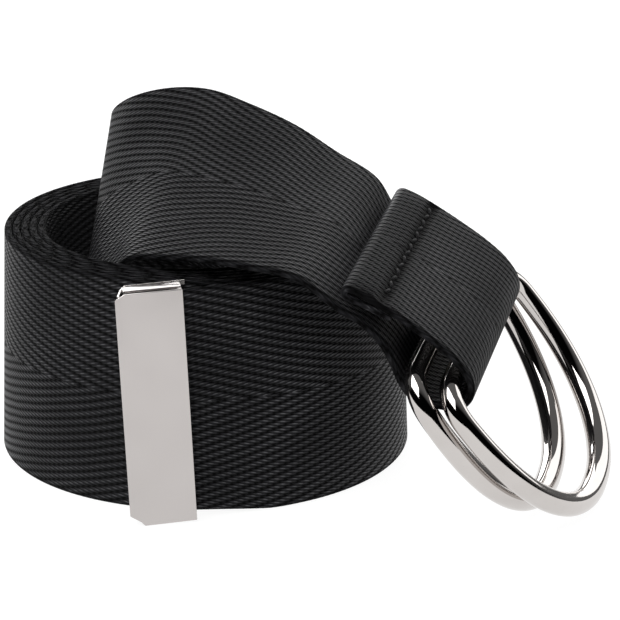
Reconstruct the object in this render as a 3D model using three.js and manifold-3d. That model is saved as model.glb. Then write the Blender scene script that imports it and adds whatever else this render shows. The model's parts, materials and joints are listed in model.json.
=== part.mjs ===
// A web belt: one length of plain black webbing, rolled up and standing on its edge.
// The outer end wears a folded metal tip. The inner end comes out over the roll,
// goes through two D-rings and is turned back and hemmed, so the rings hang in a loop.
// Millimetres, +Z up. The lengths below are laid out from the middle of the roll,
// and the finished group is then set with the middle of its box at x = y = 0.

import * as THREE from 'three';
import { mergeVertices } from 'three/addons/utils/BufferGeometryUtils.js';
import Module from 'manifold-3d';

// Webbing
const webWidth = 38;
const webThick = 1.2;
const webBevel = 0.4; // how far the woven edge tapers in
const clearance = 0.3; // between parts, and between layers that lie on each other

// Roll of webbing
const rollRadius = 35.1; // outside, at the floor
const rollMiddle = { x: -0.4, y: 0.1 };
const rollPitch = 1.45; // one layer and the air between two layers
const rollStart = -88; // degrees, where the outermost layer begins under the free end
const rollTurns = 4.95;
const rollStep = 9; // degrees between two sections
const outerLean = 1.5; // the outermost layer is that much smaller at the top
const innerLean = 1.1;

// Free end of the webbing and its metal tip
const tipLength = 10.6;
const tipHeight = 38.4;
const tipThick = 3.9;
const tipSheet = 0.5;
const tipSlant = 1.2; // the back slants away from the fold over that length
const tipSeam = 0.6; // slit behind the front plate, where the side walls are folded up to it
// The corners are cut off at the fold, and the cut is hollowed by bow in its middle
const tipNotches = [
  { side: 1, along: 1.6, down: 1.2, bow: 0 },
  { side: -1, along: 2.1, down: 2.1, bow: 0.25 },
];
const tipMiddle = { x: -6.5, y: -36.95 };
const tipYaw = 10.8; // degrees, its left end stands out from the roll
const tipLean = 2.6; // degrees, its top leans to the left
const tuckedWidth = 36.8; // the webbing is narrower where the tip grips it
const tuckedEnd = 1.8; // from the end of the tip to the end of the webbing

// Loop at the other end: all its folds run along one line, and so do the bars of the rings
const foldYaw = 75.2; // degrees from +X
const foldRise = 8; // degrees, the far side is higher
const loopOrigin = new THREE.Vector3(44.3, -25, 26.3);
const hemLength = 7.5;

// D-rings, both of one size
const ring = {
  halfWidth: 23.6, // to the middle of the wire
  reach: 32, // from the bar to the middle of the bow
  cornerRadius: 5.5,
  bowPower: 2.2, // 2 is an ellipse, a higher power is squarer
  barWire: 1.7, // wire radius at the bar
  bowWire: 2, // and at the middle of the bow
  sides: 10,
};
const frontRing = { out: -0.35, up: 1.3, hang: 52.5 };
const backRing = { out: -5.75, up: 2.8, hang: 57.2 };

// The webbing between the roll and the loop, one row for each 8 mm of it.
// The near edge is the one that starts on the floor.
const bandRows = [
  { near: [1, -26, 0], far: [1, -25.5, 38] },
  { near: [9, -24.5, 0], far: [8.5, -24, 38] },
  { near: [15.5, -20.5, 0], far: [15.5, -19.5, 38] },
  { near: [20, -14, 0], far: [20.5, -13.5, 38] },
  { near: [21.5, -6, 0], far: [23.5, -6, 38] },
  { near: [19.5, 1.5, 0], far: [24, 2, 38] },
  { near: [14, 7.5, 1], far: [22.5, 10, 38] },
  { near: [6.5, 10.5, 2.5], far: [18, 16.5, 38] },
  { near: [-1, 10.5, 5], far: [11.5, 21.5, 39] },
  { near: [-8, 8.5, 8.5], far: [4, 23.5, 41] },
  { near: [-14, 5, 12.5], far: [-3.5, 24, 44] },
  { near: [-18.5, 0, 17], far: [-10.5, 22, 47] },
  { near: [-20, -6, 22.5], far: [-15.5, 18, 51.5] },
  { near: [-18.5, -12, 27.5], far: [-13, 13, 55.5] },
  { near: [-15, -17, 33], far: [-6.5, 10, 58] },
  { near: [-11, -22, 38], far: [1, 7.5, 58.5] },
  { near: [-6, -27.5, 40], far: [8, 3.5, 57] },
  { near: [0.5, -31.5, 41], far: [15.5, 1, 54] },
  { near: [8, -35, 41], far: [22, -1, 50] },
  { near: [15.5, -37.5, 40], far: [28.5, -2.5, 46] },
];

// The loop seen along its folds, from the loop's origin: out is away from the roll.
// It goes down under the hem, round below both bars and back over them to the hem.
const loopRows = [
  { out: -17.4, up: 12.3 },
  { out: -14.4, up: 10.6 },
  { out: -12.2, up: 8.6 },
  { out: -10.5, up: 6.3 },
  { out: -9.2, up: 3.5 },
  { out: -8.2, up: 0.9 },
  { out: -6.9, up: -1.1 },
  { out: -4.6, up: -2.3 },
  { out: -1.7, up: -2.8 },
  { out: 1.1, up: -2.5 },
  { out: 2.6, up: -0.7 },
  { out: 2.6, up: 1.9 },
  { out: 0.7, up: 5 },
  { out: -2.5, up: 7.9 },
  { out: -5.9, up: 10.3 },
  { out: -9.3, up: 12.5 },
  { out: -12.7, up: 14.5 },
  { out: -15.8, up: 15.9 },
];

const radians = THREE.MathUtils.degToRad;
const zAxis = new THREE.Vector3(0, 0, 1);

// Line of the folds, and the two directions across it
const foldLine = new THREE.Vector3(1, 0, 0)
  .applyAxisAngle(new THREE.Vector3(0, -1, 0), radians(foldRise))
  .applyAxisAngle(zAxis, radians(foldYaw));
const outLine = new THREE.Vector3().crossVectors(foldLine, zAxis).normalize();
const upLine = new THREE.Vector3().crossVectors(outLine, foldLine);

function inLoop(out, up, along = 0) {
  return loopOrigin.clone()
    .addScaledVector(outLine, out)
    .addScaledVector(upLine, up)
    .addScaledVector(foldLine, along);
}

// Place of the tip: x along the webbing towards the roll, y into the roll, z up its height
const tipTurn = new THREE.Quaternion().setFromEuler(
  new THREE.Euler(0, -radians(tipLean), radians(tipYaw), 'ZYX'),
);
const tipFoot = tipLength / 2 - tipNotches[1].along; // it stands on the end of the notch
const tipStand = tipHeight / 2 * Math.cos(radians(tipLean))
  + tipFoot * Math.sin(radians(tipLean));
const tipCentre = new THREE.Vector3(tipMiddle.x, tipMiddle.y, tipStand);

// A rung is one straight line across the webbing, from its near edge to its far edge.
// step is the longest distance to the next section that is built after it.
function rung(near, far, step, width = webWidth) {
  return { near, far, step, width };
}

function tipRung(x) {
  const half = tuckedWidth / 2;
  const end = (z) => new THREE.Vector3(x, 0, z).applyQuaternion(tipTurn).add(tipCentre);
  return rung(end(-half), end(half), 4, tuckedWidth);
}

function rollRung(turned) {
  const angle = radians(rollStart + turned);
  const turns = turned / 360;
  const radius = rollRadius - webThick / 2 - rollPitch * turns;
  const lean = THREE.MathUtils.lerp(outerLean, innerLean, turns / rollTurns);
  const at = (r, z) => new THREE.Vector3(
    rollMiddle.x + r * Math.cos(angle),
    rollMiddle.y + r * Math.sin(angle),
    z,
  );
  return rung(at(radius, 0), at(radius - lean, webWidth), 6);
}

function loopRung(out, up) {
  return rung(inLoop(out, up, -webWidth / 2), inLoop(out, up, webWidth / 2), 1.4);
}

// The end of the flap is turned under: half a round, then back along the flap
function hemRungs() {
  const last = loopRows[loopRows.length - 1];
  const before = loopRows[loopRows.length - 2];
  const run = new THREE.Vector2(before.out - last.out, before.up - last.up).normalize();
  const down = new THREE.Vector2(run.y, -run.x);
  const radius = (webThick + clearance) / 2;
  const rungs = [];
  for (const angle of [45, 90, 135, 180]) {
    const back = -radius * Math.sin(radians(angle));
    const drop = radius * (1 - Math.cos(radians(angle)));
    rungs.push({ back, drop });
  }
  rungs.push({ back: hemLength / 2, drop: 2 * radius }, { back: hemLength, drop: 2 * radius });
  return rungs.map(({ back, drop }) => loopRung(
    last.out + run.x * back + down.x * drop,
    last.up + run.y * back + down.y * drop,
  ));
}

function webbingRungs() {
  const half = tipLength / 2;
  const rungs = [tipRung(tuckedEnd - half), tipRung(0), tipRung(half + clearance)];
  const firstFree = 18; // degrees, where the free end meets the roll
  for (let turned = firstFree; turned <= rollTurns * 360; turned += rollStep) {
    rungs.push(rollRung(turned));
  }
  for (const row of bandRows) {
    rungs.push(rung(new THREE.Vector3(...row.near), new THREE.Vector3(...row.far), 2.2));
  }
  for (const row of loopRows) {
    rungs.push(loopRung(row.out, row.up));
  }
  return [...rungs, ...hemRungs()];
}

// Sections between the rungs, on a smooth curve through each edge, all of their real width
function smoothRungs(rungs) {
  const nearCurve = new THREE.CatmullRomCurve3(rungs.map((r) => r.near), false, 'centripetal');
  const farCurve = new THREE.CatmullRomCurve3(rungs.map((r) => r.far), false, 'centripetal');
  const middleOf = (r) => r.near.clone().add(r.far).multiplyScalar(0.5);
  const spans = rungs.length - 1;
  const smooth = [];
  for (let i = 0; i < spans; i += 1) {
    const distance = middleOf(rungs[i]).distanceTo(middleOf(rungs[i + 1]));
    const pieces = Math.ceil(distance / rungs[i].step);
    for (let k = 0; k < pieces; k += 1) {
      const part = k / pieces;
      smooth.push({
        near: nearCurve.getPoint((i + part) / spans),
        far: farCurve.getPoint((i + part) / spans),
        width: THREE.MathUtils.lerp(rungs[i].width, rungs[i + 1].width, part),
      });
    }
  }
  smooth.push(rungs[spans]);
  return smooth.map(({ near, far, width }) => {
    const across = far.clone().sub(near).normalize();
    return { middle: near.clone().add(far).multiplyScalar(0.5), across, width };
  });
}

// Skin over a row of closed sections, each a list of the same number of points,
// which go round counter-clockwise as seen against the way the row runs
function skin(sections, closed) {
  const count = sections[0].length;
  const rows = sections.length;
  const index = [];
  for (let i = 0; i < (closed ? rows : rows - 1); i += 1) {
    const next = (i + 1) % rows;
    for (let k = 0; k < count; k += 1) {
      const side = (k + 1) % count;
      index.push(i * count + k, next * count + side, next * count + k);
      index.push(i * count + k, i * count + side, next * count + side);
    }
  }
  if (!closed) {
    const last = (rows - 1) * count;
    for (let k = 1; k < count - 1; k += 1) {
      index.push(0, k + 1, k);
      index.push(last, last + k, last + k + 1);
    }
  }
  const geometry = new THREE.BufferGeometry();
  const points = sections.flat().flatMap((p) => [p.x, p.y, p.z]);
  geometry.setAttribute('position', new THREE.Float32BufferAttribute(points, 3));
  geometry.setIndex(index);
  return geometry;
}

function webbingGeometry() {
  const rungs = smoothRungs(webbingRungs());
  const flat = webThick / 2;
  const sections = rungs.map(({ middle, across, width }, i) => {
    const before = rungs[Math.max(i - 1, 0)].middle;
    const after = rungs[Math.min(i + 1, rungs.length - 1)].middle;
    const face = new THREE.Vector3().subVectors(after, before).cross(across).normalize();
    const at = (w, t) => middle.clone().addScaledVector(across, w).addScaledVector(face, t);
    const edge = width / 2;
    const shoulder = edge - webBevel;
    return [
      at(-edge, 0), at(-shoulder, -flat), at(shoulder, -flat),
      at(edge, 0), at(shoulder, flat), at(-shoulder, flat),
    ];
  });
  return skin(sections, false);
}

// Middle line of a D-ring's wire: the bar on y = 0, a rounded corner, the bow, a corner
function ringLine() {
  const { halfWidth, reach, cornerRadius, bowPower } = ring;
  const line = [];
  const barHalf = halfWidth - cornerRadius;
  for (const share of [-0.6, -0.2, 0.2, 0.6]) {
    line.push([barHalf * share, 0]);
  }
  for (const angle of [-90, -68, -46, -24]) {
    const a = radians(angle);
    line.push([barHalf + cornerRadius * Math.cos(a), cornerRadius * (1 + Math.sin(a))]);
  }
  const bowSteps = 36;
  for (let i = 0; i <= bowSteps; i += 1) {
    const a = Math.PI * i / bowSteps;
    const side = Math.cos(a);
    line.push([
      halfWidth * Math.sign(side) * Math.abs(side) ** (2 / bowPower),
      cornerRadius + (reach - cornerRadius) * Math.abs(Math.sin(a)) ** (2 / bowPower),
    ]);
  }
  for (const angle of [-24, -46, -68, -90]) {
    const a = radians(angle);
    line.push([-barHalf - cornerRadius * Math.cos(a), cornerRadius * (1 + Math.sin(a))]);
  }
  return line.map(([x, y]) => new THREE.Vector3(x, y, 0));
}

function ringGeometry() {
  const line = ringLine();
  const sections = line.map((point, i) => {
    const before = line[(i + line.length - 1) % line.length];
    const after = line[(i + 1) % line.length];
    const sideways = new THREE.Vector3().subVectors(before, after).cross(zAxis).normalize();
    const wire = THREE.MathUtils.lerp(ring.barWire, ring.bowWire, point.y / ring.reach);
    return Array.from({ length: ring.sides }, (_, k) => {
      const a = 2 * Math.PI * k / ring.sides;
      return point.clone()
        .addScaledVector(sideways, wire * Math.cos(a))
        .addScaledVector(zAxis, wire * Math.sin(a));
    });
  });
  return skin(sections, true);
}

function ringMesh(name, place) {
  const steel = new THREE.MeshStandardMaterial({ color: '#d6d4d1', roughness: 0.06, metalness: 1 });
  const mesh = new THREE.Mesh(ringGeometry(), steel);
  mesh.name = name;
  const hang = radians(place.hang);
  const bow = outLine.clone().multiplyScalar(Math.cos(hang))
    .addScaledVector(upLine, -Math.sin(hang));
  const turn = new THREE.Matrix4().makeBasis(
    foldLine, bow, new THREE.Vector3().crossVectors(foldLine, bow),
  );
  mesh.quaternion.setFromRotationMatrix(turn);
  mesh.position.copy(inLoop(place.out, place.up));
  return mesh;
}

const wasm = await Module();
wasm.setup();

function toSolid(geometry) {
  const bare = geometry.clone();
  bare.deleteAttribute('normal');
  bare.deleteAttribute('uv');
  const merged = mergeVertices(bare);
  return new wasm.Manifold(new wasm.Mesh({
    numProp: 3,
    vertProperties: new Float32Array(merged.attributes.position.array),
    triVerts: new Uint32Array(merged.index.array),
  }));
}

function fromSolid(solid) {
  const mesh = solid.getMesh();
  const geometry = new THREE.BufferGeometry();
  geometry.setAttribute('position', new THREE.BufferAttribute(mesh.vertProperties, 3));
  geometry.setIndex(new THREE.BufferAttribute(mesh.triVerts, 1));
  return geometry;
}

// The tip seen along its height: a flat front, a tight fold at the left end, and a back
// that slants away from the fold. It is the hollow alone if there is no sheet round it.
function tipOutline(sheet, right) {
  const inside = tipThick / 2 - tipSheet;
  const fold = tipSheet - tipLength / 2;
  const slope = Math.atan2(2 * inside, tipSlant);
  const outline = new THREE.Shape();
  outline.moveTo(right, -inside - sheet);
  outline.lineTo(fold, -inside - sheet);
  if (sheet > 0) {
    outline.absarc(fold, -inside, sheet, -Math.PI / 2, slope + Math.PI / 2, true);
  }
  outline.lineTo(fold + tipSlant - sheet * Math.tan(slope / 2), inside + sheet);
  outline.lineTo(right, inside + sheet);
  return outline;
}

function tipBlock(outline, height) {
  const settings = { depth: height, bevelEnabled: false, curveSegments: 8 };
  return new THREE.ExtrudeGeometry(outline, settings).translate(0, 0, -height / 2);
}

// Sheet folded round the end of the webbing, with side walls, open towards the roll
function tipGeometry() {
  const over = 1; // a cut runs that far past the faces that it opens
  const half = { x: tipLength / 2, z: tipHeight / 2 };
  const inside = tipThick / 2 - tipSheet;
  const seam = new THREE.BoxGeometry(tipLength, tipSeam, tipHeight + 2 * over)
    .translate(tipNotches[0].along, tipSeam / 2 - inside, 0);
  let solid = toSolid(tipBlock(tipOutline(tipSheet, half.x), tipHeight))
    .subtract(toSolid(tipBlock(tipOutline(0, half.x + over), tipHeight - 2 * tipSheet)))
    .subtract(toSolid(seam));
  for (const { side, along, down, bow } of tipNotches) {
    const corner = new THREE.Shape([
      new THREE.Vector2(along - half.x, side * half.z),
      new THREE.Vector2(along / 2 + bow - half.x, side * (half.z - down / 2 - bow)),
      new THREE.Vector2(-half.x, side * (half.z - down)),
      new THREE.Vector2(-half.x - over, side * (half.z - down)),
      new THREE.Vector2(-half.x - over, side * (half.z + over)),
      new THREE.Vector2(along - half.x, side * (half.z + over)),
    ]);
    const depth = tipThick + 2 * over;
    const wedge = new THREE.ExtrudeGeometry(corner, { depth, bevelEnabled: false })
      .rotateX(Math.PI / 2)
      .translate(0, depth / 2, 0);
    solid = solid.subtract(toSolid(wedge));
  }
  return fromSolid(solid);
}

const belt = new THREE.Group();

const webbing = new THREE.Mesh(
  webbingGeometry(),
  new THREE.MeshStandardMaterial({ color: '#26262a', roughness: 0.8, metalness: 0 }),
);
webbing.name = 'webbing_strap';
belt.add(webbing);

const tip = new THREE.Mesh(
  tipGeometry(),
  new THREE.MeshStandardMaterial({ color: '#bdb9b7', roughness: 0.35, metalness: 1 }),
);
tip.name = 'end_tip';
tip.quaternion.copy(tipTurn);
tip.position.copy(tipCentre);
belt.add(tip);

belt.add(ringMesh('d_ring_front', frontRing));
belt.add(ringMesh('d_ring_back', backRing));

// Middle of the box to x = y = 0, lowest point to the floor
const box = new THREE.Box3().setFromObject(belt, true);
const middle = box.getCenter(new THREE.Vector3());
belt.position.set(-middle.x, -middle.y, -box.min.z);

export default belt;
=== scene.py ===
import json
import math

import bpy
from mathutils import Euler, Matrix, Vector


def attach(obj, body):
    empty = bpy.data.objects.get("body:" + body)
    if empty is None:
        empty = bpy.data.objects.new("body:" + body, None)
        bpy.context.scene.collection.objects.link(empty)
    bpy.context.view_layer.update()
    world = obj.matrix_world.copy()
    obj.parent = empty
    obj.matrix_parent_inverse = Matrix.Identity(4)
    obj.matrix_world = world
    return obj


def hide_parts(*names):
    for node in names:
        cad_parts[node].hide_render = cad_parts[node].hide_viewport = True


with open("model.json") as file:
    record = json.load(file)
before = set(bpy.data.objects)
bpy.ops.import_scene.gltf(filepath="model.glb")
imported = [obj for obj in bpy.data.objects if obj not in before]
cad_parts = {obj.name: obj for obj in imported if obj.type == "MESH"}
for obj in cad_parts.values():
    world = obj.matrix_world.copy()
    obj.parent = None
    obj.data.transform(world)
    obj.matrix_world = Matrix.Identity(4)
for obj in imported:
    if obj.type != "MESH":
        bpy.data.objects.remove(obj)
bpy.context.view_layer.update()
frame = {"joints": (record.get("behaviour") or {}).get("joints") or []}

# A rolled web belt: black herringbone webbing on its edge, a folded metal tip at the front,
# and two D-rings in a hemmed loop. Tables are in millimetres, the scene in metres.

mm = 0.001


# Helpers

def linearColour(code, alpha=1.0):
    # sRGB hex to the linear values that shaders take
    parts = [int(code[i:i + 2], 16) / 255 for i in (1, 3, 5)]
    return [c / 12.92 if c <= 0.04045 else ((c + 0.055) / 1.055) ** 2.4 for c in parts] + [alpha]


def addNode(tree, kind, inputs=(), **settings):
    # one node with its settings; an input is a value, a socket or a node, for its first output
    node = tree.nodes.new("ShaderNode" + kind)
    for name, value in settings.items():
        setattr(node, name, value)
    for name, value in dict(inputs).items():
        if isinstance(value, bpy.types.Node):
            value = value.outputs[0]
        if isinstance(value, bpy.types.NodeSocket):
            tree.links.new(value, node.inputs[name])
        else:
            node.inputs[name].default_value = value
    return node


def newMaterial(name):
    material = bpy.data.materials.new(name)
    material.use_nodes = True
    material.node_tree.nodes.clear()
    return material, material.node_tree


def deselectAll():
    if bpy.context.object and bpy.context.object.mode != "OBJECT":
        bpy.ops.object.mode_set(mode="OBJECT")
    bpy.ops.object.select_all(action="DESELECT")


def finishPiece(piece, name, material, body):
    # one named piece with its material, on its body
    piece.name = name
    piece.data.name = name
    piece.data.materials.clear()
    piece.data.materials.append(material)
    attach(piece, body)


def applyModifiers(piece):
    deselectAll()
    bpy.context.view_layer.objects.active = piece
    piece.select_set(True)
    for modifier in list(piece.modifiers):
        bpy.ops.object.modifier_apply(modifier=modifier.name)


def bakePlace(piece, matrix):
    # the place goes into the mesh, and the object stays at the origin
    piece.data.transform(matrix)
    piece.data.update()


# Sizes of the belt in millimetres, and its places from the middle of the roll

webbing = {
    "width": 38,
    "thick": 1.2,
    "clearance": 0.3,  # from the tip
    "rollRadius": 35.1,
    "rollMiddle": (-0.4, 0.1),
    "rollPitch": 1.45,  # from turn to turn
    "rollStart": -88,  # degrees
    "rollTurns": 4.95,
    "rollStep": 9,  # degrees
    "outerLean": 1.5,  # the far edge of a turn stands that much further in
    "innerLean": 1.1,
    "firstFree": 18,  # degrees, where the free end meets the roll
    "tuckedWidth": 36.8,  # inside the tip
    "tuckedEnd": 1.8,
    "hemLength": 7.5,
    "hemGap": 0.12,  # the stitches draw the hem closer than the solid's clearance
    "hemPuff": 0.06,  # the hem swells between its fold and the stitches
    "edgeRound": 0.5,  # half axis of the rounded woven edge
    "edgeTurns": (-60, -30, 0, 30, 60),  # degrees, its points
    "flatShares": (-1, -0.8, -0.4, 0, 0.4, 0.8, 1),  # points across the flat of a section
    "knotPitch": 1.15,  # along the edge, from one turn of the weft to the next
    "knotHeight": 0.13,
    "finest": 0.4,  # along the webbing, between two sections
    "foldFinest": 0.25,  # and in the loop
}

loop = {
    "foldYaw": 75.2,  # degrees from +X
    "foldRise": 8,
    "origin": (44.3, -25, 26.3),
}

tip = {
    "length": 10.6,
    "height": 38.4,
    "thick": 3.9,
    "sheet": 0.5,
    "slant": 1.2,  # the back slants away from the fold over that length
    "seam": 0.6,  # slit behind the front plate
    "middle": (-6.5, -36.95),
    "yaw": 10.8,
    "lean": 2.6,
    "edgeRound": 0.14,
    "edgeSegments": 2,
    "sharpAngle": 50,  # degrees, from where an edge is rounded
    "smoothAngle": 35,  # up to where the fold is shaded smooth
    "foldSteps": 8,
    "foldGap": 0.06,  # the sheet is that much thinner, so its fold is not quite closed
}

# Corners cut off at the fold, the top one and the bottom one, hollowed by bow in the middle
tipNotches = [
    {"side": 1, "along": 1.6, "down": 1.2, "bow": 0},
    {"side": -1, "along": 2.1, "down": 2.1, "bow": 0.25},
]

ring = {
    "halfWidth": 23.6,
    "reach": 32,
    "cornerRadius": 5.5,
    "bowPower": 2.2,
    "barWire": 1.7,
    "bowWire": 2,
    "bowSteps": 110,
    "cornerSteps": 12,
    "barShares": (-0.6, -0.2, 0.2, 0.6),  # points along the straight part of the bar
    "roundness": 8,  # bevel resolution of the wire
}

ringPlaces = {
    "front_ring": {"node": "d_ring_front", "out": -0.35, "up": 1.3, "hang": 52.5},
    "back_ring": {"node": "d_ring_back", "out": -5.75, "up": 2.8, "hang": 57.2},
}

# The webbing between the roll and the loop: near edge and far edge, a row for each 8 mm
bandRows = [
    {"near": (1, -26, 0), "far": (1, -25.5, 38)},
    {"near": (9, -24.5, 0), "far": (8.5, -24, 38)},
    {"near": (15.5, -20.5, 0), "far": (15.5, -19.5, 38)},
    {"near": (20, -14, 0), "far": (20.5, -13.5, 38)},
    {"near": (21.5, -6, 0), "far": (23.5, -6, 38)},
    {"near": (19.5, 1.5, 0), "far": (24, 2, 38)},
    {"near": (14, 7.5, 1), "far": (22.5, 10, 38)},
    {"near": (6.5, 10.5, 2.5), "far": (18, 16.5, 38)},
    {"near": (-1, 10.5, 5), "far": (11.5, 21.5, 39)},
    {"near": (-8, 8.5, 8.5), "far": (4, 23.5, 41)},
    {"near": (-14, 5, 12.5), "far": (-3.5, 24, 44)},
    {"near": (-18.5, 0, 17), "far": (-10.5, 22, 47)},
    {"near": (-20, -6, 22.5), "far": (-15.5, 18, 51.5)},
    {"near": (-18.5, -12, 27.5), "far": (-13, 13, 55.5)},
    {"near": (-15, -17, 33), "far": (-6.5, 10, 58)},
    {"near": (-11, -22, 38), "far": (1, 7.5, 58.5)},
    {"near": (-6, -27.5, 40), "far": (8, 3.5, 57)},
    {"near": (0.5, -31.5, 41), "far": (15.5, 1, 54)},
    {"near": (8, -35, 41), "far": (22, -1, 50)},
    {"near": (15.5, -37.5, 40), "far": (28.5, -2.5, 46)},
]

# The loop seen along its folds, from the loop's origin
loopRows = [
    {"out": -17.4, "up": 12.3},
    {"out": -14.4, "up": 10.6},
    {"out": -12.2, "up": 8.6},
    {"out": -10.5, "up": 6.3},
    {"out": -9.2, "up": 3.5},
    {"out": -8.2, "up": 0.9},
    {"out": -6.9, "up": -1.1},
    {"out": -4.6, "up": -2.3},
    {"out": -1.7, "up": -2.8},
    {"out": 1.1, "up": -2.5},
    {"out": 2.6, "up": -0.7},
    {"out": 2.6, "up": 1.9},
    {"out": 0.7, "up": 5},
    {"out": -2.5, "up": 7.9},
    {"out": -5.9, "up": 10.3},
    {"out": -9.3, "up": 12.5},
    {"out": -12.7, "up": 14.5},
    {"out": -15.8, "up": 15.9},
]

yaw = math.radians(loop["foldYaw"])
rise = math.radians(loop["foldRise"])
foldLine = Vector((math.cos(rise) * math.cos(yaw), math.cos(rise) * math.sin(yaw), math.sin(rise)))
outLine = foldLine.cross(Vector((0, 0, 1))).normalized()
upLine = outLine.cross(foldLine)


def inLoop(out, up, along=0.0):
    return Vector(loop["origin"]) + outLine * out + upLine * up + foldLine * along


# The frame's origin is the middle of the box: the hinge of the front ring says where the roll
# stands in it
frontJoint = next(j for j in frame["joints"] if j["child"] == "front_ring")
frontPlace = ringPlaces["front_ring"]
rollOrigin = Vector(frontJoint["pos_m"]) - inLoop(frontPlace["out"], frontPlace["up"]) * mm
toFrame = Matrix.Translation(rollOrigin) @ Matrix.Scale(mm, 4)

tipLean = math.radians(tip["lean"])
tipTurn = Euler((0, -tipLean, math.radians(tip["yaw"])), "XYZ").to_matrix()
tipFoot = tip["length"] / 2 - tipNotches[1]["along"]  # it stands on the end of the notch
tipStand = tip["height"] / 2 * math.cos(tipLean) + tipFoot * math.sin(tipLean)
tipCentre = Vector((*tip["middle"], tipStand))


# Camera and light come first

camera = {
    "place": (17.71, -425.22, 166.31),  # from the middle of the roll, in millimetres
    "target": (17.71, 1.03, 22.03),
    "lens": 154.94,
    "sensor": 36,
    "nearest": 0.01,  # metres
}

# In metres from the frame's origin; the softboxes are area lamps, their power in watts
studio = {
    "floorSize": 6.0,
    "floorColour": "#6a6a6a",
    "floorGlow": 0.94,  # it is lit from below, so nothing casts a shadow on it
    "skyTop": "#ffffff",
    "skyLow": "#161617",
    "skyRay": (0, 0.75, 0.66),  # the way to the brightest part
    "skyEdges": (0.1, 0.45),  # along that ray, from dark to bright
    "skyStrength": 0.15,
    "lampTarget": (0, 0, 0.03),
}

softboxes = [
    {"name": "top_softbox", "place": (-0.3, -0.3, 0.75), "size": (0.8, 0.6), "power": 5.8},
    {"name": "right_softbox", "place": (0.6, 0.65, 0.5), "size": (0.9, 0.7), "power": 3.3},
    {"name": "back_softbox", "place": (-0.15, 0.8, 0.35), "size": (0.9, 0.5), "power": 4.5},
]


def lookAt(item, target):
    line = target - item.location
    item.rotation_euler = line.to_track_quat("-Z", "Y").to_euler()


def addCamera():
    bpy.ops.object.camera_add(location=toFrame @ Vector(camera["place"]))
    view = bpy.context.object
    view.name = "photo_camera"
    lookAt(view, toFrame @ Vector(camera["target"]))
    view.data.lens = camera["lens"]
    view.data.sensor_width = camera["sensor"]
    view.data.clip_start = camera["nearest"]
    bpy.context.scene.camera = view


def addSoftbox(box):
    bpy.ops.object.light_add(type="AREA", location=box["place"])
    lamp = bpy.context.object
    lamp.name = box["name"]
    lamp.data.shape = "RECTANGLE"
    lamp.data.size, lamp.data.size_y = box["size"]
    lamp.data.energy = box["power"]
    lookAt(lamp, Vector(studio["lampTarget"]))


def addFloor():
    bpy.ops.mesh.primitive_plane_add(size=studio["floorSize"], location=(0, 0, 0))
    floor = bpy.context.object
    floor.name = "studio_floor"
    # Opal acrylic, sanded on top and lit from below: an even white without gloss
    material, tree = newMaterial("opalAcrylic")
    shader = addNode(tree, "BsdfPrincipled", {
        "Base Color": linearColour(studio["floorColour"]),
        "Roughness": 0.7,
        "Specular IOR Level": 0.1,
        "Emission Color": linearColour("#ffffff"),
        "Emission Strength": studio["floorGlow"],
    })
    addNode(tree, "OutputMaterial", {"Surface": shader})
    floor.data.materials.append(material)


def addSky():
    # a white sweep behind the object and overhead, and a dark room behind the camera
    world = bpy.data.worlds.new("whiteSweep")
    world.use_nodes = True
    tree = world.node_tree
    tree.nodes.clear()
    direction = addNode(tree, "TexCoord")
    backwards = addNode(tree, "VectorMath", {
        0: direction.outputs["Generated"], 1: studio["skyRay"],
    }, operation="DOT_PRODUCT")
    ramp = addNode(tree, "ValToRGB", {0: backwards.outputs["Value"]})
    shades = zip(studio["skyEdges"], (studio["skyLow"], studio["skyTop"]))
    for stop, (position, shade) in zip(ramp.color_ramp.elements, shades):
        stop.position = position
        stop.color = linearColour(shade)
    sky = addNode(tree, "Background", {"Color": ramp, "Strength": studio["skyStrength"]})
    addNode(tree, "OutputWorld", {"Surface": sky})
    bpy.context.scene.world = world
    bpy.context.scene.view_settings.view_transform = "Standard"


# Materials

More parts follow.
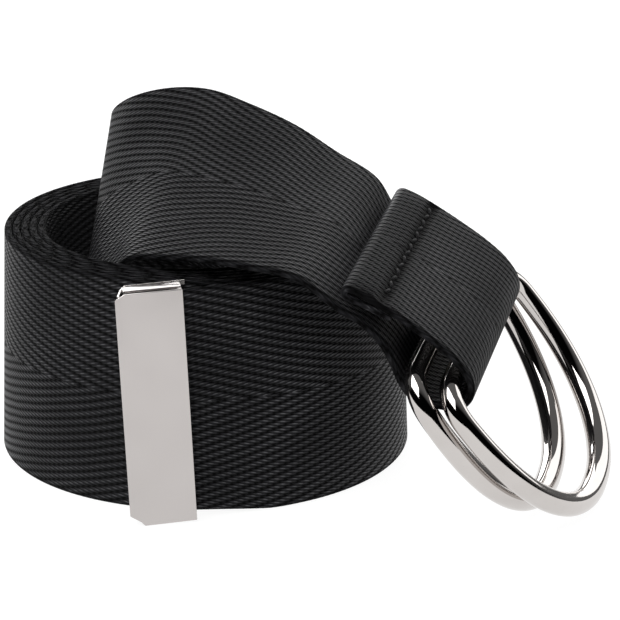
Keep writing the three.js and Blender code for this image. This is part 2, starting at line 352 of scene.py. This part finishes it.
def herringboneWebbing(seamAt, foldAt):
    # Woven polyester, dyed black: ribs slant towards the middle line and turn back there, each laid
    # with smooth strands the other way. Its colour goes by the height of the weave: painted shade
    # makes the gaps rows of black dots, and a painted grey highlight sits where a strand crosses
    # the top of a rib. From the seam to the fold the ribs are flattened, so the hem is smoother and
    # darker; a painted highlight runs along its fold, painted shade darkens the groove of the
    # stitches, and painted shade darkens the woven edges.
    weave = {
        "ribSlant": 15,  # degrees, the ribs against the run of the webbing
        "ribPitch": 1.26,  # millimetres between two ribs
        "ribFlank": (0.16, 0.86),  # of a rib's wave, from its black foot to its flat crown
        "strandSlant": 13,  # degrees, the other way
        "strandPitch": 0.5,  # square across the strands, about 1.05 along a rib
        "strandShift": 0.43,  # of a strand, from rib to rib
        "strandFlank": (0.4, 0.9),  # of a strand's wave, where it sinks between two ribs
        "onRib": (0.78, 1.0),  # height of a crown, between two strands and on one
        "inValley": (0.0, 0.7),  # the same between two ribs
        "wander": (0.4, 0.2),  # millimetres, along and across
        "relief": 0.5,
        "lit": (0.72, 0.85),  # share of the height that shows as light, in blotches
        "paintedGlint": 0.16,  # painted highlight, added where a strand crosses the top of a rib
        "selvedge": (18.2, 18.6),  # from the middle line, where the dull edge starts
        # painted shade on the colour of the woven edges
        "selvedgePaintedShade": 0.85,
        "hemStart": (-4, 0.3),  # from the seam, where the ribs get flatter
        "pressedRelief": 0.45,  # what is left of the relief on the hem
        "pressedShade": 0.72,
        "foldStart": (-0.1, 0.5),  # from the fold, where the painted highlight along it starts
        "foldPaintedHighlight": 1.08,
        "groove": (0.2, 1.5),  # on both sides of the seam, where painted shade darkens the groove
        "groovePaintedShade": 0.55,
        "rough": (0.9, 0.36),  # between the ribs and on them
        "shades": [  # height, colour: the low stops are painted shade in the gaps, the top stop the painted glint
            (0.08, "#010101"), (0.42, "#0b0b0c"), (0.62, "#1b1b1d"), (0.82, "#2d2d2f"),
            (1.0, "#69696c"),
        ],
    }
    material, tree = newMaterial("herringboneWebbing")
    coords = addNode(tree, "UVMap", uv_map="weave")  # along the webbing, and from its middle line

    def ray(slant, pitch):
        # a dot product with it counts the pitches across lines of that slant
        turn = math.radians(slant)
        return [math.sin(turn) / pitch / mm, math.cos(turn) / pitch / mm, 0]

    # the yarns wander a little, and both halves mirror each other
    noise = addNode(tree, "TexNoise", {"Vector": coords, "Scale": 220.0, "Detail": 1.0})
    bothWays = addNode(
        tree, "VectorMath", {0: noise.outputs["Color"], 1: (0.5, 0.5, 0.5)}, operation="SUBTRACT",
    )
    reach = [distance * mm for distance in weave["wander"]] + [0]
    wandering = addNode(
        tree, "VectorMath", {0: bothWays, 1: reach, 2: coords}, operation="MULTIPLY_ADD",
    )
    folded = addNode(tree, "VectorMath", {0: wandering}, operation="ABSOLUTE")

    # ribs
    rib = addNode(tree, "VectorMath", {
        0: folded, 1: ray(weave["ribSlant"], weave["ribPitch"]),
    }, operation="DOT_PRODUCT")
    ribNumber = addNode(tree, "Math", {0: rib.outputs["Value"]}, operation="FLOOR")
    ribWave = addNode(tree, "Math", {0: rib.outputs["Value"], 1: math.pi}, operation="MULTIPLY")
    ribSine = addNode(tree, "Math", {0: ribWave}, operation="SINE")
    ribSize = addNode(tree, "Math", {0: ribSine}, operation="ABSOLUTE")
    ribCrown = addNode(tree, "MapRange", {
        "Value": ribSize, "From Min": weave["ribFlank"][0], "From Max": weave["ribFlank"][1],
    }, interpolation_type="SMOOTHSTEP")

    # strands, shifted from rib to rib
    strand = addNode(tree, "VectorMath", {
        0: folded, 1: ray(-weave["strandSlant"], weave["strandPitch"] / math.pi),
    }, operation="DOT_PRODUCT")
    shifted = addNode(tree, "Math", {
        0: ribNumber, 1: weave["strandShift"] * math.pi, 2: strand.outputs["Value"],
    }, operation="MULTIPLY_ADD")
    strandSine = addNode(tree, "Math", {0: shifted}, operation="SINE")
    strandCrown = addNode(tree, "Math", {0: strandSine}, operation="ABSOLUTE")
    onRib = addNode(tree, "MapRange", {
        "Value": strandCrown, "To Min": weave["onRib"][0], "To Max": weave["onRib"][1],
    })
    inValley = addNode(tree, "MapRange", {
        "Value": strandCrown,
        "From Min": weave["strandFlank"][0], "From Max": weave["strandFlank"][1],
        "To Min": weave["inValley"][0], "To Max": weave["inValley"][1],
    })
    height = addNode(tree, "Mix", {0: ribCrown, 2: inValley, 3: onRib})

    # the flattened hem, a painted highlight along its fold and painted shade in the groove of the
    # stitches
    apart = addNode(tree, "SeparateXYZ", {0: coords})
    along = apart.outputs["X"]
    hem = addNode(tree, "MapRange", {
        "Value": along, "From Min": (seamAt + weave["hemStart"][0]) * mm,
        "From Max": (seamAt + weave["hemStart"][1]) * mm,
    }, interpolation_type="SMOOTHSTEP")
    relief = addNode(tree, "MapRange", {
        "Value": hem, "To Min": 1.0, "To Max": weave["pressedRelief"],
    })
    # the darker flattened hem up to the fold, then a painted highlight along the fold
    flatThenFoldHighlight = addNode(tree, "MapRange", {
        "Value": along, "From Min": (foldAt + weave["foldStart"][0]) * mm,
        "From Max": (foldAt + weave["foldStart"][1]) * mm,
        "To Min": weave["pressedShade"], "To Max": weave["foldPaintedHighlight"],
    })
    hemToneAndFoldHighlight = addNode(tree, "MapRange", {"Value": hem, "To Min": 1.0, "To Max": flatThenFoldHighlight})
    # painted shade in the groove of the stitches
    fromSeam = addNode(tree, "Math", {0: along, 1: seamAt * mm}, operation="SUBTRACT")
    seamDistance = addNode(tree, "Math", {0: fromSeam}, operation="ABSOLUTE")
    groovePaintedShade = addNode(tree, "MapRange", {
        "Value": seamDistance,
        "From Min": weave["groove"][0] * mm, "From Max": weave["groove"][1] * mm,
        "To Min": weave["groovePaintedShade"], "To Max": 1.0,
    }, interpolation_type="SMOOTHSTEP")
    hemToneAndPaintedLight = addNode(tree, "Math", {0: hemToneAndFoldHighlight, 1: groovePaintedShade}, operation="MULTIPLY")

    # the duller selvedge: rougher, and painted shade darkens its colour
    fromMiddle = addNode(tree, "SeparateXYZ", {0: folded})
    body = addNode(tree, "MapRange", {
        "Value": fromMiddle.outputs["Y"],
        "From Min": weave["selvedge"][0] * mm, "From Max": weave["selvedge"][1] * mm,
        "To Min": 1.0, "To Max": 0.0,
    })
    edgePaintedShade = addNode(tree, "MapRange", {
        "Value": body, "To Min": weave["selvedgePaintedShade"], "To Max": 1.0,
    })

    # colour from the height, which paints shade into the gaps, with the painted glint, painted
    # shade on the edges and in the groove, a painted highlight along the fold and the darker
    # flattened hem
    blotches = addNode(tree, "TexNoise", {"Vector": coords, "Scale": 60.0, "Detail": 3.0})
    lit = addNode(tree, "MapRange", {
        "Value": blotches, "From Min": 0.3, "From Max": 0.7,
        "To Min": weave["lit"][0], "To Max": weave["lit"][1],
    })
    # a painted highlight where a strand crosses the top of a rib, added to the height's painted
    # shade
    crossing = addNode(tree, "Math", {0: strandCrown, 1: ribSize}, operation="MULTIPLY")
    paintedGlint = addNode(tree, "MapRange", {
        "Value": crossing, "From Min": 0.8, "From Max": 1.0, "To Max": weave["paintedGlint"],
    }, interpolation_type="SMOOTHSTEP")
    shade = addNode(tree, "Math", {0: height, 1: lit, 2: paintedGlint}, operation="MULTIPLY_ADD")
    # painted shade on the woven edges
    toneWithEdgeShade = addNode(tree, "Math", {0: shade, 1: edgePaintedShade}, operation="MULTIPLY")
    toneWithPaintedLight = addNode(tree, "Math", {0: toneWithEdgeShade, 1: hemToneAndPaintedLight}, operation="MULTIPLY")
    colour = addNode(tree, "ValToRGB", {0: toneWithPaintedLight})
    stops = colour.color_ramp.elements
    for _ in weave["shades"][2:]:
        stops.new(0.5)
    for stop, (position, shadeCode) in zip(stops, weave["shades"]):
        stop.position = position
        stop.color = linearColour(shadeCode)

    # gloss and relief
    shine = addNode(tree, "Math", {0: height, 1: body}, operation="MULTIPLY")
    hemShine = addNode(tree, "Math", {0: shine, 1: hemToneAndPaintedLight}, operation="MULTIPLY")
    rough = addNode(tree, "MapRange", {
        "Value": hemShine, "To Min": weave["rough"][0], "To Max": weave["rough"][1],
    })
    bump = addNode(tree, "Bump", {
        "Strength": relief, "Distance": weave["relief"] * mm, "Height": height,
    })
    shader = addNode(tree, "BsdfPrincipled", {
        "Base Color": colour,
        "Roughness": rough,
        "Specular IOR Level": 0.08,
        "Normal": bump,
    })
    addNode(tree, "OutputMaterial", {"Surface": shader})
    return material


def sewingThread():
    # Black polyester sewing thread: two plies twisted, with painted highlights in its colour that
    # run across it along the twist, a little shinier than the flattened webbing that it lies in.
    material, tree = newMaterial("polyesterSewingThread")
    coords = addNode(tree, "TexCoord")
    twist = addNode(tree, "TexWave", {
        "Vector": coords.outputs["Object"], "Scale": 1400.0, "Distortion": 1.5,
    }, bands_direction="DIAGONAL")
    bump = addNode(tree, "Bump", {"Strength": 0.6, "Distance": 0.06 * mm, "Height": twist})
    # painted highlights: lighter stripes of colour along the twist
    colour = addNode(tree, "Mix", {
        0: twist, 6: linearColour("#060607"), 7: linearColour("#222224"),
    }, data_type="RGBA")
    shader = addNode(tree, "BsdfPrincipled", {
        "Base Color": colour.outputs[2],
        "Roughness": 0.55,
        "Specular IOR Level": 0.22,
        "Normal": bump,
    })
    addNode(tree, "OutputMaterial", {"Surface": shader})
    return material


def polishedNickel():
    # Nickel-plated steel wire, tumbled and polished: a mirror with a warm grey tint,
    # hairline polishing marks and a faint haze here and there.
    material, tree = newMaterial("polishedNickel")
    coords = addNode(tree, "TexCoord")
    haze = addNode(tree, "TexNoise", {
        "Vector": coords.outputs["Object"], "Scale": 180.0, "Detail": 4.0,
    })
    rough = addNode(tree, "MapRange", {
        "Value": haze, "From Min": 0.3, "From Max": 0.8, "To Min": 0.03, "To Max": 0.1,
    })
    tint = addNode(tree, "Mix", {
        0: haze, 6: linearColour("#cdc9c6"), 7: linearColour("#bfbab7"),
    }, data_type="RGBA")
    stretched = addNode(tree, "Mapping", {
        "Vector": coords.outputs["Object"], "Scale": (900, 900, 9000),
    })
    marks = addNode(tree, "TexNoise", {"Vector": stretched, "Scale": 1.0, "Detail": 2.0})
    bump = addNode(tree, "Bump", {"Strength": 0.08, "Distance": 0.02 * mm, "Height": marks})
    shader = addNode(tree, "BsdfPrincipled", {
        "Base Color": tint.outputs[2], "Metallic": 1.0, "Roughness": rough, "Normal": bump,
    })
    addNode(tree, "OutputMaterial", {"Surface": shader})
    return material


def satinNickel():
    # Nickel-plated sheet, satin from the rolled steel under the plating: even warm grey,
    # soft reflections, faint clouds and fine scuffs along its height.
    material, tree = newMaterial("satinNickel")
    coords = addNode(tree, "TexCoord")
    clouds = addNode(tree, "TexNoise", {
        "Vector": coords.outputs["Object"], "Scale": 90.0, "Detail": 5.0,
    })
    rough = addNode(tree, "MapRange", {
        "Value": clouds, "From Min": 0.3, "From Max": 0.7, "To Min": 0.17, "To Max": 0.25,
    })
    tint = addNode(tree, "Mix", {
        0: clouds, 6: linearColour("#c3bebc"), 7: linearColour("#bbb6b4"),
    }, data_type="RGBA")
    stretched = addNode(tree, "Mapping", {
        "Vector": coords.outputs["Object"], "Scale": (3000, 3000, 160),
    })
    scuffs = addNode(tree, "TexNoise", {"Vector": stretched, "Scale": 1.0, "Detail": 3.0})
    bump = addNode(tree, "Bump", {"Strength": 0.12, "Distance": 0.02 * mm, "Height": scuffs})
    shader = addNode(tree, "BsdfPrincipled", {
        "Base Color": tint.outputs[2], "Metallic": 1.0, "Roughness": rough, "Normal": bump,
    })
    addNode(tree, "OutputMaterial", {"Surface": shader})
    return material


# Webbing: rungs straight across it, then a rounded section at each

def rung(near, far, step, width):
    return {"near": Vector(near), "far": Vector(far), "step": step, "width": width}


def tipRung(x):
    half = webbing["tuckedWidth"] / 2
    ends = [tipTurn @ Vector((x, 0, z)) + tipCentre for z in (-half, half)]
    return rung(*ends, webbing["finest"], webbing["tuckedWidth"])


def rollRung(turned):
    angle = math.radians(webbing["rollStart"] + turned)
    turns = turned / 360
    radius = webbing["rollRadius"] - webbing["thick"] / 2 - webbing["rollPitch"] * turns
    share = turns / webbing["rollTurns"]
    lean = webbing["outerLean"] * (1 - share) + webbing["innerLean"] * share
    x, y = webbing["rollMiddle"]
    ends = [
        (x + r * math.cos(angle), y + r * math.sin(angle), z)
        for r, z in ((radius, 0), (radius - lean, webbing["width"]))
    ]
    return rung(*ends, webbing["finest"], webbing["width"])


def loopRung(out, up):
    width = webbing["width"]
    ends = [inLoop(out, up, along) for along in (-width / 2, width / 2)]
    return rung(*ends, webbing["foldFinest"], width)


def hemRungs():
    last = Vector((loopRows[-1]["out"], loopRows[-1]["up"]))
    before = Vector((loopRows[-2]["out"], loopRows[-2]["up"]))
    run = (before - last).normalized()
    down = Vector((run.y, -run.x))
    radius = (webbing["thick"] + webbing["hemGap"]) / 2
    points = []
    for degrees in (45, 90, 135, 180):
        angle = math.radians(degrees)
        points.append(last - run * radius * math.sin(angle) + down * radius * (1 - math.cos(angle)))
    for share in (0.5, 1):
        points.append(last + run * webbing["hemLength"] * share + down * 2 * radius)
    return [loopRung(*point) for point in points]


def webbingRungs():
    half = tip["length"] / 2
    rungs = [tipRung(x) for x in (webbing["tuckedEnd"] - half, 0, half + webbing["clearance"])]
    turned = webbing["firstFree"]
    while turned <= webbing["rollTurns"] * 360:
        rungs.append(rollRung(turned))
        turned += webbing["rollStep"]
    for row in bandRows:
        rungs.append(rung(row["near"], row["far"], webbing["finest"], webbing["width"]))
    rungs += [loopRung(row["out"], row["up"]) for row in loopRows]
    return rungs + hemRungs()


def curvePoint(points, span, part):
    # centripetal Catmull-Rom curve through the points
    b, c = points[span], points[span + 1]
    a = points[span - 1] if span else 2 * b - c
    d = points[span + 2] if span + 2 < len(points) else 2 * c - b
    first, second, third = (math.sqrt((q - p).length) for p, q in ((a, b), (b, c), (c, d)))
    start = ((b - a) / first - (c - a) / (first + second) + (c - b) / second) * second
    end = ((c - b) / second - (d - b) / (second + third) + (d - c) / third) * second
    return (
        b + start * part
        + (3 * (c - b) - 2 * start - end) * part ** 2
        + (2 * (b - c) + start + end) * part ** 3
    )


def webbingSections():
    rungs = webbingRungs()
    near = [r["near"] for r in rungs]
    far = [r["far"] for r in rungs]
    lines = []
    for i in range(len(rungs) - 1):
        distance = ((near[i] + far[i]) / 2 - (near[i + 1] + far[i + 1]) / 2).length
        pieces = math.ceil(distance / rungs[i]["step"])
        for k in range(pieces):
            part = k / pieces
            width = rungs[i]["width"] * (1 - part) + rungs[i + 1]["width"] * part
            lines.append((curvePoint(near, i, part), curvePoint(far, i, part), width))
    lines.append((near[-1], far[-1], rungs[-1]["width"]))
    middles = [(a + b) / 2 for a, b, _ in lines]
    sections = []
    length = 0.0
    for i, (a, b, width) in enumerate(lines):
        across = (b - a).normalized()
        before, after = middles[max(i - 1, 0)], middles[min(i + 1, len(lines) - 1)]
        if i:
            length += (middles[i] - before).length
        face = (after - before).cross(across).normalized()
        sections.append({
            "middle": middles[i], "across": across, "face": face, "width": width, "length": length,
        })
    return sections


def sectionOutline(width, length, dip):
    # (across, out of the face) round the section, counter-clockwise as seen against the run
    flat = webbing["thick"] / 2
    reach = webbing["edgeRound"]
    knot = webbing["knotHeight"] * abs(math.sin(math.pi * length / webbing["knotPitch"]))
    shoulder = width / 2 - reach
    across = [shoulder * share for share in webbing["flatShares"]]
    turns = [math.radians(degrees) for degrees in webbing["edgeTurns"]]
    outline = [(x, -flat + dip) for x in across]
    edge = [(shoulder + (reach + knot) * math.cos(a) - knot, flat * math.sin(a)) for a in turns]
    outline += edge
    outline += [(x, flat) for x in reversed(across)]
    outline += [(-x, -y) for x, y in edge]
    return outline


seam = {
    "inset": 5.2,  # from the hem's fold to the row of stitches
    "dip": 0.34,
    "dipWidth": 1,
    "nearMargin": 5,  # from the edges to the first and the last stitch
    "farMargin": 2.3,
}


def hemPlaces(sections):
    # lengths along the webbing: the stitches on the flap, the fold and the end of its half round
    end = sections[-1]["length"] - webbing["hemLength"]
    fold = end - math.pi * (webbing["thick"] + webbing["hemGap"]) / 2
    return fold - seam["inset"], fold, end


def hemDip(length, seamAt, foldAt):
    # into the flap: a groove at the stitches, and a swelling from there to the fold
    groove = seam["dip"] * math.exp(-((length - seamAt) / seam["dipWidth"]) ** 2)
    share = (length - seamAt) / (foldAt - seamAt)
    swelling = webbing["hemPuff"] * math.sin(math.pi * share) if 0 < share < 1 else 0
    return groove - swelling


def buildWebbing(sections, material):
    print("stage: webbing")
    seamAt, foldAt, _ = hemPlaces(sections)
    points = []
    uvs = []
    for s in sections:
        outline = sectionOutline(s["width"], s["length"], hemDip(s["length"], seamAt, foldAt))
        for w, t in outline:
            points.append(toFrame @ (s["middle"] + s["across"] * w + s["face"] * t))
            edge = max(abs(w) - (s["width"] / 2 - webbing["edgeRound"]), 0)
            uvs.append((s["length"] * mm, math.copysign(abs(w) + edge, w) * mm))
    count = len(outline)
    faces = []
    for i in range(len(sections) - 1):
        for k in range(count):
            side = (k + 1) % count
            row, after = i * count, (i + 1) * count
            faces.append((row + k, row + side, after + side, after + k))
    faces.append(tuple(reversed(range(count))))
    faces.append(tuple(range(len(points) - count, len(points))))
    mesh = bpy.data.meshes.new("webbing")
    mesh.from_pydata(points, [], faces)
    layer = mesh.uv_layers.new(name="weave")
    for corner in mesh.loops:
        layer.data[corner.index].uv = uvs[corner.vertex_index]
    for face in mesh.polygons:
        face.use_smooth = True
    mesh.update()
    piece = bpy.data.objects.new("webbing", mesh)
    bpy.context.collection.objects.link(piece)
    finishPiece(piece, "webbing", material, "belt")
    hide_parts("webbing_strap")


# Stitches: one is modelled and copied along the row, on the flap and under the hem

stitching = {
    "pitch": 2.3,
    "length": 1.75,
    "sides": 8,
    "thread": 0.26,  # radius
    "waist": 0.6,  # from its middle to where it bends down
    "dive": 0.5,
    "sway": (-17, 21),  # degrees, every other stitch the other way
}


def stitchShape():
    bpy.ops.mesh.primitive_cylinder_add(
        vertices=stitching["sides"], radius=stitching["thread"], depth=stitching["length"],
        end_fill_type="TRIFAN",
    )
    stitch = bpy.context.object
    bpy.ops.object.mode_set(mode="EDIT")
    for z in (-stitching["waist"], 0, stitching["waist"]):
        bpy.ops.mesh.select_all(action="SELECT")
        bpy.ops.mesh.bisect(plane_co=(0, 0, z), plane_no=(0, 0, 1))
    bpy.ops.object.mode_set(mode="OBJECT")
    for vertex in stitch.data.vertices:
        share = vertex.co.z / (stitching["length"] / 2)
        vertex.co.x -= stitching["dive"] * share ** 4  # the ends dive into the webbing
    return stitch


def buildStitches(sections, material):
    print("stage: stitches")
    seamAt, foldAt, endAt = hemPlaces(sections)
    onFlap = min(sections, key=lambda s: abs(s["length"] - seamAt))
    underHem = min(sections, key=lambda s: abs(s["length"] - endAt - seam["inset"]))
    deselectAll()
    stitch = stitchShape()
    start = seam["nearMargin"] - webbing["width"] / 2
    number = int((webbing["width"] - seam["nearMargin"] - seam["farMargin"]) / stitching["pitch"])
    copies = []
    for section, dip in ((onFlap, hemDip(seamAt, seamAt, foldAt)), (underHem, 0)):
        outward = -section["face"]
        lift = webbing["thick"] / 2 - dip + stitching["thread"] / 2
        turn = Matrix((outward, section["across"].cross(outward), section["across"])).transposed()
        for k in range(number + 1):
            place = start + stitching["pitch"] * k
            centre = section["middle"] + section["across"] * place + outward * lift
            sway = Matrix.Rotation(math.radians(stitching["sway"][k % 2]), 3, "X")
            copy = stitch.copy()
            copy.data = stitch.data.copy()
            bakePlace(copy, toFrame @ Matrix.Translation(centre) @ (turn @ sway).to_4x4())
            bpy.context.collection.objects.link(copy)
            copies.append(copy)
    bpy.data.objects.remove(stitch)
    deselectAll()
    for copy in copies:
        copy.select_set(True)
    bpy.context.view_layer.objects.active = copies[0]
    bpy.ops.object.join()
    piece = bpy.context.object
    bpy.ops.object.shade_smooth()
    finishPiece(piece, "hem_stitches", material, "belt")


# Tip: a plate, folded by spin and drawn out over the back, with side walls between

def roundEdges(piece):
    rounded = piece.modifiers.new("edges", "BEVEL")
    rounded.width = tip["edgeRound"]
    rounded.segments = tip["edgeSegments"]
    rounded.limit_method = "ANGLE"
    rounded.angle_limit = math.radians(tip["sharpAngle"])
    rounded.use_clamp_overlap = False
    applyModifiers(piece)


def cutNotch(plate, notch):
    # two straight cuts that meet in the middle of the notch, then the corner outside both goes
    halfX, halfZ = tip["length"] / 2, tip["height"] / 2
    side, along, down = notch["side"], notch["along"], notch["down"]
    middle = (along / 2 + notch["bow"], down / 2 + notch["bow"])
    cuts = []
    for (x0, d0), (x1, d1) in (((0, down), middle), (middle, (along, 0))):
        point = Vector((x0 - halfX, 0, side * (halfZ - d0)))
        cuts.append((point, Vector((d1 - d0, 0, side * (x1 - x0)))))
    bpy.ops.object.mode_set(mode="EDIT")
    for point, normal in cuts:
        bpy.ops.mesh.select_all(action="SELECT")
        bpy.ops.mesh.bisect(plane_co=point, plane_no=normal)
    bpy.ops.mesh.select_mode(type="FACE")
    bpy.ops.mesh.select_all(action="DESELECT")
    bpy.ops.object.mode_set(mode="OBJECT")
    for face in plate.data.polygons:
        face.select = all((face.center - point).dot(normal) > 0 for point, normal in cuts)
    bpy.ops.object.mode_set(mode="EDIT")
    bpy.ops.mesh.delete(type="FACE")
    bpy.ops.object.mode_set(mode="OBJECT")


def tipPlate():
    halfX, halfZ = tip["length"] / 2, tip["height"] / 2
    inside = tip["thick"] / 2 - tip["sheet"]
    fold = tip["sheet"] - halfX
    slope = math.atan2(2 * inside, tip["slant"])
    bpy.ops.mesh.primitive_plane_add(size=2, rotation=(math.pi / 2, 0, 0))
    plate = bpy.context.object
    bpy.ops.object.transform_apply(location=True, rotation=True, scale=True)
    for vertex in plate.data.vertices:
        x = halfX if vertex.co.x > 0 else fold
        vertex.co = (x, -tip["thick"] / 2, math.copysign(halfZ, vertex.co.z))
    bpy.ops.object.mode_set(mode="EDIT")
    bpy.ops.mesh.select_mode(type="EDGE")
    bpy.ops.mesh.select_all(action="DESELECT")
    bpy.ops.object.mode_set(mode="OBJECT")
    for edge in plate.data.edges:
        edge.select = all(plate.data.vertices[v].co.x < 0 for v in edge.vertices)
    bpy.ops.object.mode_set(mode="EDIT")
    bpy.ops.mesh.spin(
        steps=tip["foldSteps"], angle=slope - math.pi, center=(fold, -inside, 0), axis=(0, 0, 1),
    )
    sheet = tip["sheet"]
    afterFold = Vector((fold - sheet * math.sin(slope), sheet * math.cos(slope) - inside, 0))
    corner = Vector((fold + tip["slant"] - sheet * math.tan(slope / 2), tip["thick"] / 2, 0))
    for step in (corner - afterFold, Vector((halfX - corner.x, 0, 0))):
        bpy.ops.mesh.extrude_region_move(TRANSFORM_OT_translate={"value": step})
    bpy.ops.mesh.select_all(action="SELECT")
    bpy.ops.mesh.remove_doubles(threshold=0.001)  # in millimetres here
    bpy.ops.mesh.normals_make_consistent(inside=False)
    bpy.ops.object.mode_set(mode="OBJECT")
    return plate


def tipWall(notch):
    # from behind the front plate to the back plate, flush with the end of the tip
    halfX, halfZ = tip["length"] / 2, tip["height"] / 2
    inside = tip["thick"] / 2 - tip["sheet"]
    start = notch["along"] - halfX
    depth = 2 * inside + tip["sheet"] / 2 - tip["seam"]
    bpy.ops.mesh.primitive_cube_add(size=1)
    wall = bpy.context.object
    bakePlace(wall, Matrix.Diagonal((halfX - start, depth, tip["sheet"], 1)))
    bakePlace(wall, Matrix.Translation((
        (halfX + start) / 2,
        tip["seam"] - inside + depth / 2,
        notch["side"] * (halfZ - tip["sheet"] / 2),
    )))
    roundEdges(wall)
    return wall


def buildTip(material):
    print("stage: tip")
    deselectAll()
    plate = tipPlate()
    for notch in tipNotches:
        cutNotch(plate, notch)
    front = [f for f in plate.data.polygons if f.center.y < tip["sheet"] - tip["thick"] / 2]
    facesOut = sum(face.normal.y for face in front) < 0
    solid = plate.modifiers.new("sheet", "SOLIDIFY")
    solid.thickness = tip["sheet"] - tip["foldGap"]
    solid.offset = -1 if facesOut else 1  # inwards from the plate
    roundEdges(plate)
    walls = [tipWall(notch) for notch in tipNotches]
    deselectAll()
    for part in (*walls, plate):
        part.select_set(True)
    bpy.context.view_layer.objects.active = plate
    bpy.ops.object.join()
    bpy.ops.object.shade_smooth_by_angle(angle=math.radians(tip["smoothAngle"]))
    bakePlace(plate, toFrame @ Matrix.Translation(tipCentre) @ tipTurn.to_4x4())
    finishPiece(plate, "tip_sheet", material, "belt")
    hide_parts("end_tip")


# Rings: a round wire along a D, thinner at the bar

def ringLine():
    barHalf = ring["halfWidth"] - ring["cornerRadius"]
    corner = ring["cornerRadius"]
    line = [(barHalf * share, 0) for share in ring["barShares"]]
    right = []
    for k in range(ring["cornerSteps"]):
        angle = math.radians(-90 + 90 * k / ring["cornerSteps"])
        right.append((barHalf + corner * math.cos(angle), corner * (1 + math.sin(angle))))
    bow = []
    for k in range(ring["bowSteps"] + 1):
        angle = math.pi * k / ring["bowSteps"]
        side = math.cos(angle)
        power = 2 / ring["bowPower"]
        x = ring["halfWidth"] * math.copysign(abs(side) ** power, side)
        bow.append((x, corner + (ring["reach"] - corner) * abs(math.sin(angle)) ** power))
    left = [(-x, y) for x, y in reversed(right)]
    return line + right + bow + left


def buildRing(body, place, material):
    print("stage: ring on", body)
    line = ringLine()
    wire = bpy.data.curves.new(body, "CURVE")
    wire.dimensions = "3D"
    wire.bevel_depth = ring["barWire"]
    wire.bevel_resolution = ring["roundness"]
    spline = wire.splines.new("POLY")
    spline.points.add(len(line) - 1)
    for point, (x, y) in zip(spline.points, line):
        point.co = (x, y, 0, 1)
        point.radius = 1 + (ring["bowWire"] / ring["barWire"] - 1) * y / ring["reach"]
    spline.use_cyclic_u = True
    piece = bpy.data.objects.new(body, wire)
    bpy.context.collection.objects.link(piece)
    deselectAll()
    bpy.context.view_layer.objects.active = piece
    piece.select_set(True)
    bpy.ops.object.convert(target="MESH")
    piece = bpy.context.object
    bpy.ops.object.shade_smooth()
    hang = math.radians(place["hang"])
    bowLine = outLine * math.cos(hang) - upLine * math.sin(hang)
    turn = Matrix((foldLine, bowLine, foldLine.cross(bowLine))).transposed().to_4x4()
    bakePlace(piece, toFrame @ Matrix.Translation(inLoop(place["out"], place["up"])) @ turn)
    finishPiece(piece, body + "_wire", material, body)
    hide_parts(place["node"])


print("stage: camera and light")
addCamera()
addFloor()
addSky()
for box in softboxes:
    addSoftbox(box)

sections = webbingSections()
print("webbing length, mm:", round(sections[-1]["length"], 1))
seamAt, foldAt, _ = hemPlaces(sections)
buildWebbing(sections, herringboneWebbing(seamAt, foldAt))
buildStitches(sections, sewingThread())
buildTip(satinNickel())
nickel = polishedNickel()
for body, place in ringPlaces.items():
    buildRing(body, place, nickel)
